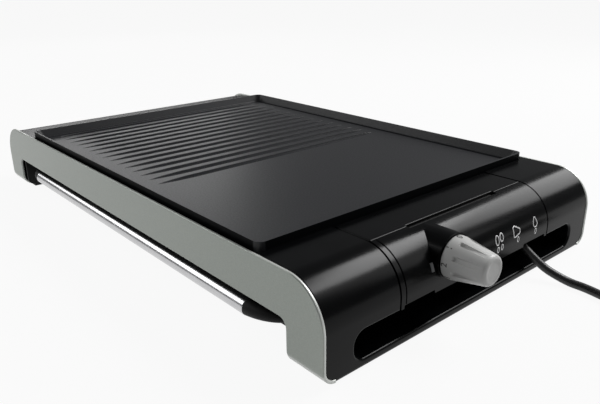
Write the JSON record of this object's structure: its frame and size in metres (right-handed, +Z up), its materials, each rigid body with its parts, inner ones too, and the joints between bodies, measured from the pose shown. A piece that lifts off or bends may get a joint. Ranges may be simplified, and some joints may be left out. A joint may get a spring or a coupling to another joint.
{
  "type": "electric grill",
  "caption": "Low table grill: ribbed plate with a drained dish on arched side panels, rounded end housings, a pull-out tray on runners, a plug-in heat control with a knob, and a cord.",
  "frame": {"origin": "centre of the grill's box, knob included, at the underside of its feet; the cord and plug are left out of the box", "axes": "+X towards the end with the knob, -Y towards the side with the tray's handle, +Z up"},
  "size_m": [0.7443, 0.3851, 0.0766],
  "materials": {
    "panel_paint": "satin grey-green metallic",
    "gloss_black": "high gloss",
    "matt_black": "fine matt grain",
    "non_stick": "dark non-stick coating on cast aluminium",
    "sheet_steel": "plain sheet",
    "sheath_steel": "heat-darkened",
    "chrome": "polished",
    "brass": "plain",
    "satin_silver": "satin silver",
    "ceramic": "moulded",
    "rubber": "matt",
    "cord_sheath": "smooth",
    "pale_lens": "clear and pale"
  },
  "bodies": {
    "body": {"side_panel_near": "panel_paint", "side_panel_far": "panel_paint", "front_cover": "gloss_black", "rear_cover": "gloss_black", "front_base_plate": "matt_black", "rear_base_plate": "matt_black", "base_screw_front_near": "sheet_steel", "base_screw_front_far": "sheet_steel", "base_screw_rear_near": "sheet_steel", "base_screw_rear_far": "sheet_steel", "foot_front_near": "rubber", "foot_front_far": "rubber", "foot_rear_near": "rubber", "foot_rear_far": "rubber", "inner_tub": "matt_black", "plate_rest_front_near": "rubber", "plate_rest_front_far": "rubber", "plate_rest_rear_near": "rubber", "plate_rest_rear_far": "rubber", "heat_shield": "sheet_steel", "heating_element": "sheath_steel", "terminal_pin_near": "brass", "terminal_pin_far": "brass", "element_flange": "sheet_steel", "element_clip_1_near": "sheet_steel", "element_clip_1_far": "sheet_steel", "element_clip_2_near": "sheet_steel", "element_clip_2_far": "sheet_steel", "tray_runner_front": "matt_black", "tray_runner_rear": "matt_black"},
    "plate": {"grill_plate": "non_stick"},
    "tray": {"drip_tray": "sheet_steel", "tray_front": "matt_black", "handle_bar": "chrome", "handle_end_front": "matt_black", "handle_end_rear": "matt_black"},
    "control_unit": {"control_fascia": "gloss_black", "control_back": "matt_black", "control_top_strip": "gloss_black", "thermostat_bracket": "sheet_steel", "thermostat_body": "ceramic", "thermostat_probe": "brass", "socket_block": "ceramic", "pilot_lens": "pale_lens", "pilot_lamp": "pale_lens", "strain_relief": "rubber", "cord_clamp": "matt_black", "cord": "cord_sheath", "cord_coil": "cord_sheath", "cord_tail": "cord_sheath", "cord_tie": "cord_sheath", "plug": "rubber", "plug_pin_1": "chrome", "plug_pin_2": "chrome"},
    "knob": {"knob": "satin_silver", "knob_shaft": "sheet_steel"}
  },
  "joints": [
    {"name": "plate_lift", "type": "slide", "parent": "body", "child": "plate", "axis": [0, 0, 1], "range_m": [0, 0.12]},
    {"name": "tray_slide", "type": "slide", "parent": "body", "child": "tray", "axis": [0, -1, 0], "range_m": [0, 0.25]},
    {"name": "control_pull", "type": "slide", "parent": "body", "child": "control_unit", "axis": [1, 0, 0], "range_m": [0, 0.12]},
    {"name": "knob_turn", "type": "hinge", "parent": "control_unit", "child": "knob", "pos_m": [0.2676, -0.0395, 0.0527], "axis": [-1, 0, 0], "range_deg": [0, 270]}
  ]
}
